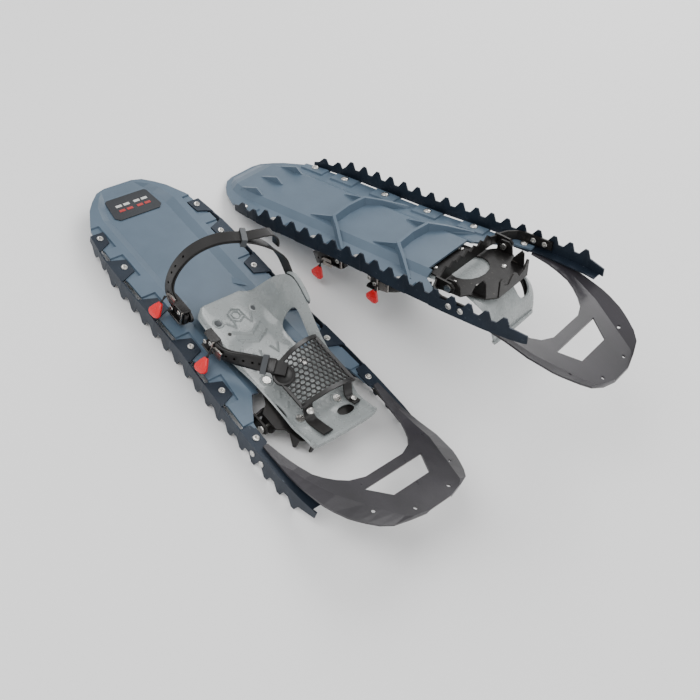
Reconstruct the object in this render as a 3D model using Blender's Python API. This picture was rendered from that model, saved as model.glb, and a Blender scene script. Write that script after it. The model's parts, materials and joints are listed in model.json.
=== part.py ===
"""A pair of moulded-deck snowshoes with toothed steel side rails and a pivoting strap binding.

Each shoe is modelled in its own frame, in millimetres: X from the tail to the toe, Y to the
wearer's left, Z up from the deck's rim. The right shoe stands on its rails. The left shoe is the
right one's mirror image, turned over, and it leans on its tail and on its heel strap.
"""

import math

import bmesh
import bpy
from mathutils import Matrix, Vector

MM = 0.001

# ---- driving dimensions, in millimetres ----
FLOOR_Z = -27.0          # tips of the rail teeth, below the deck's rim
SHEET = 3.0              # moulded deck and toe cap
STEEL = 2.0
GAP = 0.3                # between pieces that rest on each other
RECESS = 6.0             # depth of the deck's centre channel

RIVET_X = (67.0, 124.0, 198.0, 272.5, 346.0, 422.0)
RIVET_Y = (77.0, 77.0, 77.8, 78.2, 84.7, 91.0)
SHANK_R = 2.2
HOLE_R = 2.6
LUG_HALF = 16.0

PIVOT = (410.0, 0.0, -12.0)
PIN_R = 3.0
BAR_X = 390.0

# the left shoe's place: yaw and pitch of the turned-over shoe, and where its tail stands
LEFT_TAIL = (31.0, 200.0, 0.0)
LEFT_YAW = 8.0
LEFT_PITCH = 18.6

COLOURS = {
    "deck": ((0.165, 0.228, 0.285), 0.45, 0.0),
    "toe_cap": ((0.060, 0.055, 0.062), 0.42, 0.0),
    "steel": ((0.022, 0.030, 0.042), 0.45, 0.6),
    "crampon": ((0.035, 0.034, 0.032), 0.50, 0.6),
    "rivet": ((0.62, 0.61, 0.58), 0.30, 1.0),
    "base": ((0.30, 0.33, 0.33), 0.40, 0.0),
    "strap": ((0.018, 0.017, 0.017), 0.50, 0.0),
    "keeper": ((0.11, 0.12, 0.13), 0.50, 0.0),
    "buckle": ((0.012, 0.012, 0.012), 0.30, 0.0),
    "lever": ((0.40, 0.38, 0.36), 0.30, 1.0),
    "tab": ((0.62, 0.012, 0.018), 0.35, 0.0),
}


# ---- small helpers ----
def lerp(table, x):
    """Straight-line interpolation in a table of (x, value)."""
    if x <= table[0][0]:
        return table[0][1]
    for (x0, v0), (x1, v1) in zip(table, table[1:]):
        if x <= x1:
            return v0 + (v1 - v0) * (x - x0) / (x1 - x0)
    return table[-1][1]


def clear_scene():
    for obj in list(bpy.data.objects):
        bpy.data.objects.remove(obj)


def make_material(name):
    colour, roughness, metallic = COLOURS[name]
    material = bpy.data.materials.new(name)
    material.use_nodes = True
    shader = material.node_tree.nodes["Principled BSDF"]
    shader.inputs["Base Color"].default_value = (*colour, 1.0)
    shader.inputs["Roughness"].default_value = roughness
    shader.inputs["Metallic"].default_value = metallic
    material.diffuse_color = (*colour, 1.0)
    return material


def mesh_object(name, points, faces, fix_normals=True):
    """An object from points in millimetres. Loose points are dropped."""
    mesh = bpy.data.meshes.new(name)
    mesh.from_pydata([Vector(p) * MM for p in points], [], faces)
    bm = bmesh.new()
    bm.from_mesh(mesh)
    bmesh.ops.delete(bm, geom=[v for v in bm.verts if not v.link_faces], context="VERTS")
    if fix_normals:
        bmesh.ops.recalc_face_normals(bm, faces=bm.faces)
    bm.to_mesh(mesh)
    bm.free()
    obj = bpy.data.objects.new(name, mesh)
    bpy.context.scene.collection.objects.link(obj)
    return obj


def bake(obj):
    """Applies the modifiers, so that copies of the piece can share one finished mesh."""
    bpy.context.view_layer.update()
    graph = bpy.context.evaluated_depsgraph_get()
    mesh = bpy.data.meshes.new_from_object(obj.evaluated_get(graph))
    helpers = [m.object for m in obj.modifiers if m.type == "BOOLEAN"]
    obj.modifiers.clear()
    obj.data = mesh
    for helper in helpers:
        bpy.data.objects.remove(helper)
    return obj


def solidify(obj, thickness, offset=0.0):
    modifier = obj.modifiers.new("thickness", "SOLIDIFY")
    modifier.thickness = thickness * MM
    modifier.offset = offset
    modifier.use_even_offset = True
    return bake(obj)


def boolean(obj, operation, *others):
    for other in others:
        modifier = obj.modifiers.new(operation.lower(), "BOOLEAN")
        modifier.operation = operation
        modifier.object = other
    return bake(obj)


def join(name, objects):
    """Several separate closed bodies in one object."""
    mesh = bpy.data.meshes.new(name)
    bm = bmesh.new()
    for obj in objects:
        bm.from_mesh(obj.data)
        bpy.data.objects.remove(obj)
    bm.to_mesh(mesh)
    bm.free()
    joined = bpy.data.objects.new(name, mesh)
    bpy.context.scene.collection.objects.link(joined)
    return joined


def sheet(name, rows, present=lambda i, j: True):
    """An open sheet from a grid of points; present(i, j) says which cells exist."""
    width = len(rows[0])
    points = [p for row in rows for p in row]
    faces = [
        (i * width + j, i * width + j + 1, (i + 1) * width + j + 1, (i + 1) * width + j)
        for i in range(len(rows) - 1)
        for j in range(width - 1)
        if present(i, j)
    ]
    return mesh_object(name, points, faces)


def slab(name, rows, thickness, present=lambda i, j: True):
    """A closed plate whose top is the grid and whose underside is the same grid, lowered."""
    width = len(rows[0])
    top = [p for row in rows for p in row]
    low = [(p[0], p[1], p[2] - thickness) for p in top]
    count = len(top)
    cells = [
        (i * width + j, i * width + j + 1, (i + 1) * width + j + 1, (i + 1) * width + j)
        for i in range(len(rows) - 1)
        for j in range(width - 1)
        if present(i, j)
    ]
    edges = {(c[k], c[(k + 1) % 4]) for c in cells for k in range(4)}
    walls = [(b, a, a + count, b + count) for a, b in edges if (b, a) not in edges]
    under = [tuple(v + count for v in reversed(c)) for c in cells]
    return mesh_object(name, top + low, cells + under + sorted(walls))


def prism(name, outline, plane, low, high):
    """A closed prism: an outline in plane XY, XZ or YZ, between low and high on the third axis."""
    place = {
        "XY": lambda a, b, c: (a, b, c),
        "XZ": lambda a, b, c: (a, c, b),
        "YZ": lambda a, b, c: (c, a, b),
    }[plane]
    n = len(outline)
    points = [place(a, b, low) for a, b in outline] + [place(a, b, high) for a, b in outline]
    walls = [(k, (k + 1) % n, n + (k + 1) % n, n + k) for k in range(n)]
    return mesh_object(name, points, [tuple(range(n)), tuple(range(n, 2 * n)), *walls])


def turned(name, profile, centre, axis="Z", segments=8):
    """A round piece from (radius, height) pairs that start and end on the axis."""
    points = []
    rings = []
    for radius, height in profile:
        start = len(points)
        steps = segments if radius > 0 else 1
        for k in range(steps):
            angle = 2 * math.pi * (k + 0.5) / segments
            a, b = radius * math.cos(angle), radius * math.sin(angle)
            local = {"Z": (a, b, height), "Y": (a, height, b), "X": (height, a, b)}[axis]
            points.append(tuple(c + d for c, d in zip(centre, local)))
        rings.append([start + k % steps for k in range(segments + 1)])
    faces = []
    for lower, upper in zip(rings, rings[1:]):
        for k in range(segments):
            corners = (lower[k], lower[k + 1], upper[k + 1], upper[k])
            faces.append(tuple(dict.fromkeys(corners)))
    return mesh_object(name, points, faces)


def cylinder(name, centre, radius, low, high, axis="Z", segments=8):
    profile = [(0.0, low), (radius, low), (radius, high), (0.0, high)]
    return turned(name, profile, centre, axis, segments)


def smooth_path(points, per_span):
    """Catmull-Rom curve through the points."""
    pts = [Vector(p) for p in points]
    ends = [2 * pts[0] - pts[1], *pts, 2 * pts[-1] - pts[-2]]
    out = []
    for k in range(1, len(ends) - 2):
        a, b, c, d = ends[k - 1 : k + 3]
        for step in range(per_span):
            t = step / per_span
            out.append(
                0.5
                * (
                    2 * b
                    + (c - a) * t
                    + (2 * a - 5 * b + 4 * c - d) * t**2
                    + (3 * b - a - 3 * c + d) * t**3
                )
            )
    return [*out, pts[-1]]


def frames(path, sides):
    """(point, tangent, side, normal) along a path; sides are side-direction hints, one per point."""
    out = []
    for k, point in enumerate(path):
        tangent = (path[min(k + 1, len(path) - 1)] - path[max(k - 1, 0)]).normalized()
        hint = Vector(sides[k])
        side = (hint - tangent * hint.dot(tangent)).normalized()
        out.append((point, tangent, side, tangent.cross(side)))
    return out


def ribbon(name, stations, width, thickness):
    """A flat strap of rectangular section through (point, side hint) stations."""
    path = [s[0] for s in stations]
    corners = []
    for point, _, side, normal in frames(path, [s[1] for s in stations]):
        for u, v in ((-1, -1), (1, -1), (1, 1), (-1, 1)):
            corners.append(point + side * (u * width / 2) + normal * (v * thickness / 2))
    return loft(name, corners)


def loft(name, corners):
    """A closed bar through four-cornered sections."""
    faces = [(0, 1, 2, 3), tuple(len(corners) - 4 + k for k in range(4))]
    for k in range(len(corners) // 4 - 1):
        for m in range(4):
            a, b = 4 * k + m, 4 * k + (m + 1) % 4
            faces.append((a, b, b + 4, a + 4))
    return mesh_object(name, corners, faces)


def ring(name, point, tangent, side, normal, inner, outer, length):
    """A square loop round a strap: inner and outer are (width, height), length is along the strap."""
    points = []
    for along in (-length / 2, length / 2):
        for w, h in (inner, outer):
            for u, v in ((-1, -1), (1, -1), (1, 1), (-1, 1)):
                points.append(
                    point + tangent * along + side * (u * w / 2) + normal * (v * h / 2)
                )
    faces = []
    for m in range(4):
        n = (m + 1) % 4
        faces.append((m, n, n + 4, m + 4))
        faces.append((m + 8, n + 8, n + 12, m + 12))
        faces.append((m, n, n + 8, m + 8))
        faces.append((m + 4, n + 4, n + 12, m + 12))
    return mesh_object(name, points, faces)


# ---- plan shape of the shoe ----
RAIL_Y = [
    (58, 85.0), (100, 91.0), (140, 92.5), (272, 93.0), (330, 97.0),
    (380, 99.5), (430, 100.5), (480, 100.0), (515, 97.0), (540, 92.5),
]
TOE_OUTER = [
    (437, 93.0), (500, 93.5), (545, 92.0), (575, 84.0), (600, 70.0), (612, 58.0), (618, 40.0), (623, 20.0),
]
TOE_INNER = [(437, 86.0), (465, 80.0), (500, 72.0), (520, 62.0), (536, 46.0), (541, 30.0)]
LUG_INNER = 8.5          # how far a lug runs inboard of its rivet
SHELF = 14.0             # rail flange that carries the toe cap's arm
SHELF_X = (404.0, 532.0)


def rail_y(x):
    return lerp(RAIL_Y, x)


def lug_depth(x):
    """Depth of the rail's top flange at x, measured inboard from the blade."""
    depth = 0.0
    for cx, cy in zip(RIVET_X, RIVET_Y):
        full = rail_y(cx) - cy + LUG_INNER
        share = (LUG_HALF + 3.0 - abs(x - cx)) / 8.0
        depth = max(depth, full * min(1.0, max(0.0, share)))
    if SHELF_X[0] <= x <= SHELF_X[1]:
        depth = max(depth, SHELF)
    return depth


# ---- pieces fixed to the deck ----
TOOTH_PITCH = 24.0


def rail_teeth():
    """(x, z of the lower edge) along the rail: raked teeth, fading out at the tail."""
    out = [(58.0, -9.0)]
    x = 66.0
    while x < 520.0:
        root = -16.5 if x > 110 else -11.0
        tip = FLOOR_Z if x > 110 else -19.0
        out += [(x, root), (x + 8.0, tip), (x + 13.0, tip), (x + 17.0, root)]
        x += TOOTH_PITCH
    return [*out, (538.0, -12.0)]


def rail_stations():
    teeth = rail_teeth()
    bends = {c + s * (LUG_HALF + d) for c in RIVET_X for s in (-1, 1) for d in (-5.0, 3.0)}
    bends |= {x for x, _ in teeth} | set(SHELF_X)
    xs = []
    for x in sorted(bends):
        if teeth[0][0] <= x <= teeth[-1][0] and (not xs or x - xs[-1] > 0.4):
            xs.append(x)
    return [(x, lerp(teeth, x)) for x in xs]


def make_rail(name, side):
    """Side rail: a toothed blade with a flange of lugs folded inboard over the deck's rim."""
    stations = rail_stations()
    rows = []
    for x, low in stations:
        y = rail_y(x)
        depth = lug_depth(x)
        top = -STEEL / 2
        rows.append([
            (x, side * y, low),
            (x, side * y, top),
            (x, side * (y - max(depth, 2.0)), top),
        ])

    def present(i, j):
        middle = (stations[i][0] + stations[i + 1][0]) / 2
        return j == 0 or lug_depth(middle) > 0.5

    rail = solidify(sheet(name, rows, present), STEEL)
    holes = [
        cylinder("hole", (x, side * y, 0), HOLE_R, -6, 4)
        for x, y in zip(RIVET_X, RIVET_Y)
    ]
    bracket = [
        cylinder("hole", (x, side * BRACKET_Y, BRACKET_Z), HOLE_R, -9, 9, "Y")
        for x in BRACKET_X
    ]
    return boolean(rail, "DIFFERENCE", join("holes", holes + bracket))


EDGE = [
    (-12, 22), (-8, 36), (4, 50), (16, 61), (40, 75), (48, 79), (86, 83.5), (104, 84.5), (144, 86),
    (253, 86.3), (293, 87), (330, 90), (362, 92), (385, 93), (402, 94), (436, 94.3),
]
CHANNEL = (44.0, 56.0)   # half-widths of the centre channel's floor and of its rim
FORK_X = 362.0           # front edge of the deck's middle
POCKET = 2.4             # depth of the pockets that the lugs lie in
POCKET_HALF = 20.0


def channel_depth(x):
    return RECESS * min(1.0, max(0.0, (x + 4.0) / 12.0))


def pocket_depth(x):
    inside = any(abs(x - c) < POCKET_HALF + 0.5 for c in RIVET_X)
    return POCKET if inside else 0.0


def deck_stations():
    xs = {x for x, _ in EDGE} | {FORK_X + 6.0}
    xs |= {c + s * (POCKET_HALF + d) for c in RIVET_X for s in (-1, 1) for d in (0.0, 1.0)}
    out = []
    for x in sorted(xs):
        if x <= EDGE[-1][0] and (not out or x - out[-1] > 0.4):
            out.append(x)
    return out


def make_deck():
    """Moulded deck: a recessed centre channel, pockets for the lugs and two forks at the front."""
    rows = []
    xs = deck_stations()
    for x in xs:
        edge = lerp(EDGE, x)
        floor = min(CHANNEL[0], edge * 0.62)
        rim = min(CHANNEL[1], edge * 0.80)
        if x > 368:
            rim = lerp([(368, 58), (385, 68), (402, 79), (436, 86)], x)
        wall = max(rim + 1.0, lerp([(272, 66.0), (346, 72.5), (402, 80.0)], x))
        wall = min(wall, edge - 2.0)
        step = wall + 1.0
        ledge = -pocket_depth(x) if x > SHELF_X[0] - 3.0 else 0.0
        half = [
            (floor, -channel_depth(x)),
            (rim, ledge),
            (wall, ledge),
            (step, -pocket_depth(x)),
            (edge, -pocket_depth(x)),
        ]
        row = [(x, -y, z) for y, z in reversed(half)]
        row += [(x, 0.0, -channel_depth(x))]
        row += [(x, y, z) for y, z in half]
        rows.append(row)

    def present(i, j):
        middle = 4 <= j <= 5
        slope = j in (3, 6)
        if middle:
            return xs[i + 1] <= FORK_X
        return not slope or xs[i + 1] <= FORK_X + 6.0

    deck = slab("deck", rows, SHEET, present)
    deck = boolean(deck, "UNION", *make_ribs())
    holes = [
        cylinder("hole", (x, side * y, 0), HOLE_R, -16, 6)
        for side in (-1, 1)
        for x, y in zip(RIVET_X, RIVET_Y)
    ]
    return boolean(deck, "DIFFERENCE", join("holes", holes))


def beam(name, sections):
    """A tapering bar under the deck from (x, y, top z, depth, width at the top) sections."""
    corners = []
    path = [Vector((s[0], s[1], 0)) for s in sections]
    for k, (x, y, top, depth, width) in enumerate(sections):
        tangent = (path[min(k + 1, len(path) - 1)] - path[max(k - 1, 0)]).normalized()
        across = Vector((-tangent.y, tangent.x, 0))
        for u, z in ((-0.5, top), (0.5, top), (0.22, top - depth), (-0.22, top - depth)):
            corners.append(Vector((x, y, z)) + across * (u * width))
    return loft(name, corners)


RIB_X = (192.0, 302.0)
FIN_Y = (-42.0, 0.0, 42.0)


def make_ribs():
    """The ribs moulded under the deck: two V-ended braking bars with rear gussets, and three fins."""
    floor = -RECESS - 1.3
    ribs = []
    for x in RIB_X:
        ribs.append(beam("rib", [
            (x + 52, -74, -1.2, 4.0, 7), (x + 24, -50, -3.2, 12.0, 9), (x + 3, -33, floor, 12.5, 11),
            (x, 0, floor, 12.5, 11),
            (x + 3, 33, floor, 12.5, 11), (x + 24, 50, -3.2, 12.0, 9), (x + 52, 74, -1.2, 4.0, 7),
        ]))
        for side in (-1, 1):
            ribs.append(beam("gusset", [
                (x - 34, side * 37, floor, 3.0, 9), (x + 1, side * 34, floor, 11.0, 5),
            ]))
    for y in FIN_Y:
        base = floor
        ribs.append(beam("fin", [
            (30, y, base, 2.4, 9), (60, y, base, 11.0, 6), (70, y, base, 3.0, 4),
        ]))
    return ribs


def toe_height(x):
    """Top of the toe cap: flat along the rails, then curving up to a straight ramp."""
    start, blend, slope = 452.0, 66.0, 0.41
    if x <= start:
        return 4.0
    if x <= start + blend:
        return 4.0 + slope * (x - start) ** 2 / (2 * blend)
    return 4.0 + slope * (x - start - blend / 2)


def make_toe_cap():
    """Upturned toe: two arms that lie on the rails' flanges, a window and four small holes."""
    xs = (437, 450, 465, 482, 500, 512, 524, 534, 541, 555, 572, 582, 590, 602, 612, 618, 623)
    rows = []
    for x in xs:
        outer = lerp(TOE_OUTER, x)
        z = toe_height(x)
        drop = lerp([(450, 0.0), (500, 3.0), (560, 9.0), (600, 9.0), (623, 4.0)], x)
        inner = lerp(TOE_INNER, x) if x < 541 else 30.0
        crease = min(outer - 3.0, max(inner + 2.0, lerp([(437, 90), (500, 84), (541, 76), (623, 40)], x)))
        if x >= 541:
            inner = lerp([(541, 30), (555, 46), (582, 29), (590, 26), (623, 12)], x)
        flank = z - drop if x > 470 else z
        half = [(inner, z), (crease, z), (outer, flank)]
        row = [(x, -y, h) for y, h in reversed(half)]
        row += [(x, 0.0, z)]
        row += [(x, y, h) for y, h in half]
        rows.append(row)

    def present(i, j):
        if j in (2, 3):
            return xs[i] >= 541 and not 555 <= xs[i] < 582
        return True

    cap = slab("toe_cap", rows, SHEET, present)
    holes = [
        cylinder("hole", (x, side * y, toe_height(x)), 2.5, -14, 14)
        for side in (-1, 1)
        for x, y in ((584.0, 62.0), (611.0, 27.0))
    ]
    return boolean(cap, "DIFFERENCE", join("holes", holes))


BRACKET_X = (432.0, 449.0)
BRACKET_Y = 97.3
BRACKET_Z = -11.5
BAR_T = 2.5


def make_crossmember():
    """Toothed bar from rail to rail, with its ends swept forward and two tabs that hold the pins."""
    bends = [
        (BAR_X + 2, 64.0), (BAR_X + 3, 72.0), (398.0, 84.0), (408.0, 93.5), (419.0, BRACKET_Y), (460.0, BRACKET_Y),
    ]
    centre = [(BAR_X, -56.0 + 8.0 * k) for k in range(15)]
    plan = [(x, -y) for x, y in reversed(bends)] + centre + bends
    rows = []
    for k, (x, y) in enumerate(plan):
        low = -19.0
        if abs(y) <= 60:
            low = -25.5 if k % 2 else -19.5
        rows.append([(x, y, low), (x, y, -6.3)])
    bar = solidify(sheet("crossmember", rows), BAR_T)
    tab = [(BAR_X, -5.8), (412, -5.0), (417, -8), (418, -14), (413, -19), (BAR_X, -21)]
    tabs = [
        prism("tab", tab, "XZ", *sorted((side * 67.0, side * 70.0)))
        for side in (-1, 1)
    ]
    bar = boolean(bar, "UNION", *tabs)
    holes = [
        cylinder("hole", (PIVOT[0], side * 68.5, PIVOT[2]), PIN_R + 0.25, -4, 4, "Y", 12)
        for side in (-1, 1)
    ]
    holes += [
        cylinder("hole", (x, side * BRACKET_Y, BRACKET_Z), HOLE_R, -5, 5, "Y")
        for side in (-1, 1)
        for x in BRACKET_X
    ]
    return boolean(bar, "DIFFERENCE", join("holes", holes))


def make_pivot_pin(side):
    """Clevis pin, headed at both ends, that one of the crampon's ears turns on."""
    profile = [
        (0.0, 55.5), (4.6, 55.5), (4.6, 57.0), (PIN_R, 57.0),
        (PIN_R, 70.5), (5.0, 70.5), (5.0, 72.5), (0.0, 72.5),
    ]
    profile = [(r, h * side) for r, h in profile]
    return turned("pin", profile, (PIVOT[0], 0, PIVOT[2]), "Y", 12)


# ---- pieces of the binding ----
PLATE_Z = (-2.3, -0.3)       # crampon plate
EAR_Y = (60.0, 62.5)
CRAMPON_RIVETS = ((363.0, -30.0), (363.0, 30.0), (429.0, -30.0), (429.0, 30.0))


def make_crampon():
    """Steel claw plate: an open oval, two ears on the pins, front claws and side claws."""
    half = [
        (462, 0), (462, 34), (452, 47), (430, 53), (424, 62.5), (398, 62.5), (388, 50), (374, 43), (352, 41),
        (352, 0),
    ]
    outline = half + [(x, -y) for x, y in reversed(half) if y > 0]
    plate = prism("crampon", outline, "XY", *PLATE_Z)
    oval = [
        (396 + 24 * math.cos(a), 31 * math.sin(a))
        for a in (2 * math.pi * k / 16 for k in range(16))
    ]
    ear = [(399, -1.0), (423, -1.0), (421, -13), (416, -19), (404, -19), (399, -13)]
    claw = [
        (-34, -1), (34, -1), (34, -24), (30, -26.3), (24, -14), (12, -10), (6, -18), (2, -20),
        (-2, -20), (-6, -18), (-12, -10), (-24, -14), (-30, -26.3), (-34, -24),
    ]
    side_claw = [(430, -1), (450, -1), (448, -22), (444, -25), (434, -12)]
    parts = [prism("claw", claw, "YZ", 459.7, 462.0)]
    for side in (-1, 1):
        parts.append(prism("ear", ear, "XZ", *sorted(side * y for y in EAR_Y)))
        parts.append(prism("side_claw", side_claw, "XZ", *sorted((side * 44.0, side * 46.2))))
    crampon = boolean(plate, "UNION", *parts)
    holes = [prism("oval", oval, "XY", -8, 8)]
    round_holes = [cylinder("hole", (x, y, 0), HOLE_R, -8, 8) for x, y in CRAMPON_RIVETS]
    round_holes += [
        cylinder("hole", (PIVOT[0], side * 61.0, PIVOT[2]), PIN_R + 0.25, -4, 4, "Y", 12)
        for side in (-1, 1)
    ]
    return boolean(crampon, "DIFFERENCE", *holes, join("holes", round_holes))


BASE_TOP = 3.2
BASE_T = 2.4
# x, half-width of the sole, top of the outer wall (y, z), top of the inner wall (y, z)
BASE = [
    (228, 26, (30, 4), (30, 4)), (238, 34, (42, 7), (40, 6)), (249, 38, (54, 17), (52, 34)),
    (262, 40, (57, 22), (59, 56)), (279, 40, (58, 20), (62, 68)), (300, 40, (57, 14), (63, 57)),
    (317, 40, (55, 12), (64, 46)), (332, 40, (52, 9), (63, 36)), (350, 40, (47, 6), (62, 26)),
    (372, 40, (45, 5), (61, 18)), (396, 40, (45, 5), (60, 13)), (420, 40, (46, 6), (59, 13)),
]
# x, height of the sole's top, half-width, rise of the walls over the sole
TOE_FLAT = [(440, 3.2, 42, 8), (456, 6, 42, 11), (472, 12, 43, 8)]
TOE_CURLED = [(440, 3.2, 42, 8), (456, 10, 42, 8), (466, 30, 42, 5), (469, 56, 38, 3)]
WALL = 13.0              # depth of the inner wing's upper band


def wall_middle(sole, wall, share):
    rise = wall[1] - BASE_TOP
    return (sole + wall[0]) / 2 + 2.0, BASE_TOP + max(rise * share, rise - WALL)


def base_row(x, sole, outer, inner, floor):
    mid_out = wall_middle(sole, outer, 0.35)
    mid_in = wall_middle(sole, inner, 0.42)
    half = [(-outer[0], outer[1]), (-mid_out[0], mid_out[1]), (-sole, floor), (-14.0, floor)]
    half += [(14.0, floor), (sole, floor), mid_in, inner]
    return [(x, y, z - BASE_T / 2) for y, z in half]


def make_base_plate(toe):
    """Flexible footbed: a flat sole, low walls, and a tall inner wing that holds the heel strap."""
    rows = [base_row(*section, BASE_TOP) for section in BASE]
    for x, z, half, rise in toe:
        spread = [-half - 9, -half - 5, -half, -14, 14, half, half + 5, half + 9]
        lift = [rise, rise * 0.4, 0, 0, 0, 0, rise * 0.4, rise]
        rows.append([(x, y, z + up - BASE_T / 2) for y, up in zip(spread, lift)])
    xs = [row[0][0] for row in rows]

    def present(i, j):
        strut_window = j == 5 and 300 <= xs[i] < 350
        toe_window = j == 4 and 440 <= xs[i] < xs[-2]
        side_window = j == 1 and 396 <= xs[i] < 420
        return not (strut_window or toe_window or side_window)

    plate = solidify(sheet("base_plate", rows, present), BASE_T)
    holes = [
        cylinder("hole", (x, y, 0), HOLE_R, -8, 12) for x, y in (*CRAMPON_RIVETS, (261, 29), (261, -29))
    ]
    return boolean(plate, "DIFFERENCE", join("holes", holes))


def make_crampon_rivet(x, y):
    """Rivet that clamps the footbed to the crampon."""
    profile = [
        (0.0, BASE_TOP + 1.5), (5.5, BASE_TOP + 1.5), (5.5, BASE_TOP + GAP), (SHANK_R, BASE_TOP + GAP),
        (SHANK_R, PLATE_Z[0] - GAP), (4.0, PLATE_Z[0] - GAP), (3.0, PLATE_Z[0] - 1.8), (0.0, PLATE_Z[0] - 2.2),
    ]
    return turned("rivet", profile, (x, y, 0))


NET_X = (353.0, 370.0, 388.0, 406.0, 424.0)
NET_Y = (-26.0, -12.0, 6.0, 22.0, 38.0, 54.0)
NET_T = 2.0


def net_height(x, y):
    """Instep net: arched across the foot, sloping down towards the toe."""
    across = 1.0 - ((y - 16.0) / 46.0) ** 2
    return 18.0 + 15.0 * max(0.0, across) * lerp([(353, 1.0), (424, 0.6)], x)


def make_instep_net(toe):
    """Net panel over the forefoot, with a tongue and an arm that run forward to the toe."""
    rows = []
    for x in NET_X:
        slant = (424.0 - x) / 71.0
        shifts = [lerp([(-26, 12), (6, 4), (54, -5)], y) * slant for y in NET_Y]
        rows.append([(x + shift, y, net_height(x, y)) for y, shift in zip(NET_Y, shifts)])
    for x, z, _, rise in toe:
        above = [3.0, 3.0, 3.0, rise + 4, rise + 4, rise + 4]
        rows.append([(x - 3.0, y, z + up) for y, up in zip(NET_Y, above)])

    def present(i, j):
        return i < len(NET_X) - 1 or j == 0 or (j == 4 and i < len(rows) - 2)

    return solidify(sheet("instep_net", rows, present), NET_T)


# Both straps start on the foot's inner side, end in their buckle, and double back outside.
STRAP_T = 2.2
LAYER = 3.0              # from one layer of a doubled strap to the next
KEEPER_LENGTH = 7.0
FORE_W = 18.0
HEEL_W = 16.0
FORE = {
    "path": [(376, -16, 31), (362, -27, 29), (348, -38, 27), (335, -49, 26), (323, -60, 26.5),
             (311, -66.4, 27), (295, -66.8, 27.5)],
    "hints": [(-0.5, 0.75, 0.25), (-0.45, 0.65, 0.4), (-0.3, 0.4, 0.85), (-0.2, 0.25, 0.95), (0, 0.1, 1),
              (0, 0, 1), (0, 0, 1)],
    "width": FORE_W, "centre": (345, 20, 0), "keeper": 0.28,
    "free": ((9, 0.6), (16, 1.4)),
}
HEEL = {
    "path": [(284, 66.5, 48), (268, 66, 60), (254, 60, 78), (242, 40, 97), (228, 12, 107), (212, -16, 101),
             (201, -40, 82), (198, -57, 56), (205, -66.4, 34), (222, -66.8, 21), (244, -66.6, 17)],
    "hints": [(0.6, 0, 0.8), (0.7, 0, 0.65), (0.9, 0.1, 0.35), (0.95, -0.1, 0.1), (0.95, -0.2, 0),
              (0.95, -0.25, 0), (0.95, -0.2, 0.05), (0.9, -0.1, 0.3), (0.6, 0, 0.75), (0.2, 0, 1), (0.05, 0, 1)],
    "width": HEEL_W, "centre": (290, 0, 35), "keeper": 0.42,
    "free": ((8, 0.5), (20, 7), (34, 15), (44, 11), (50, 3.5)),
}
SLACK_HEEL = {
    **HEEL,
    "path": [(284, 66.5, 48), (266, 66.2, 55), (244, 63, 59), (221, 50, 60), (198, 28, 57), (184, 2, 53),
             (178, -26, 49), (182, -51, 41), (197, -66.2, 30), (218, -66.8, 20), (244, -66.6, 17)],
    "hints": [(0.6, 0, 0.8), (0.5, 0, 0.85), (0.4, 0, 0.9), (0.45, 0, 0.9), (0.5, -0.1, 0.85), (0.55, -0.2, 0.8),
              (0.55, -0.1, 0.8), (0.5, 0, 0.85), (0.3, 0, 0.95), (0.1, 0, 1), (0.05, 0, 1)],
    "free": ((8, 0.5), (20, 2.5), (32, 3.5), (40, 2.5)),
}


def strap_layers(strap):
    """(point, side, outward) along the strap's inner layer."""
    path = smooth_path(strap["path"], 2)
    hints = smooth_path(strap["hints"], 2)
    centre = Vector(strap["centre"])
    out = []
    for point, tangent, side, normal in frames(path, hints):
        outward = normal if normal.dot(point - centre) > 0 else -normal
        out.append((point, tangent, side, outward))
    return out


def keeper_station(strap):
    layers = strap_layers(strap)
    return round(strap["keeper"] * (len(layers) - 1))


def make_strap(name, strap):
    """Strap that runs to its buckle, turns round there and comes back through its keeper."""
    layers = strap_layers(strap)
    keeper = keeper_station(strap)
    point, tangent, side, outward = layers[-1]
    stations = [(layer[0], layer[2]) for layer in layers]
    stations.append((point + tangent * (LAYER / 2) + outward * (LAYER / 2), side))
    stations += [(p + o * LAYER, s) for p, _, s, o in reversed(layers[keeper:])]
    point, tangent, side, outward = layers[keeper]
    for distance, height in strap["free"]:
        nearest = min(range(keeper + 1), key=lambda k: abs((layers[k][0] - point).length - distance))
        p, _, s, o = layers[nearest]
        along = (layers[max(nearest - 1, 0)][0] - p).normalized()
        rest = distance - (p - point).length
        stations.append((p + along * rest + o * (LAYER + height), s))
    return ribbon(name, stations, strap["width"], STRAP_T)


def make_keeper(name, strap):
    """Loop that holds the strap's two layers together, and slides along them."""
    point, tangent, side, outward = strap_layers(strap)[keeper_station(strap)]
    centre = point + outward * (LAYER / 2)
    inner = (strap["width"] + 2.6, LAYER + STRAP_T + 3.0)
    outer = (inner[0] + 3.4, inner[1] + 3.4)
    return ring(name, centre, tangent, side, outward, inner, outer, KEEPER_LENGTH)


BUCKLE_Y = (-64.2, -60.8)
HEEL_BUCKLE = (228.0, 17.0, 46.0, 22.0)
FORE_BUCKLE = (294.0, 26.0, 30.0, 22.0)


def make_buckle(name, x, z, length, height):
    """Rounded buckle plate beside the outer wall, with a slot under its lever."""
    outline = [
        (x + length / 2 * math.cos(a), z + height / 2 * math.sin(a))
        for a in (2 * math.pi * (k + 0.5) / 12 for k in range(12))
    ]
    slot = [(x + u * length / 7, z + v * height / 5) for u, v in ((-1, -1), (1, -1), (1, 1), (-1, 1))]
    body = prism(name, outline, "XZ", *BUCKLE_Y)
    return boolean(body, "DIFFERENCE", prism("slot", slot, "XZ", -80, -50))


LEVER = (15.0, 12.0, 1.8)


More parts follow.
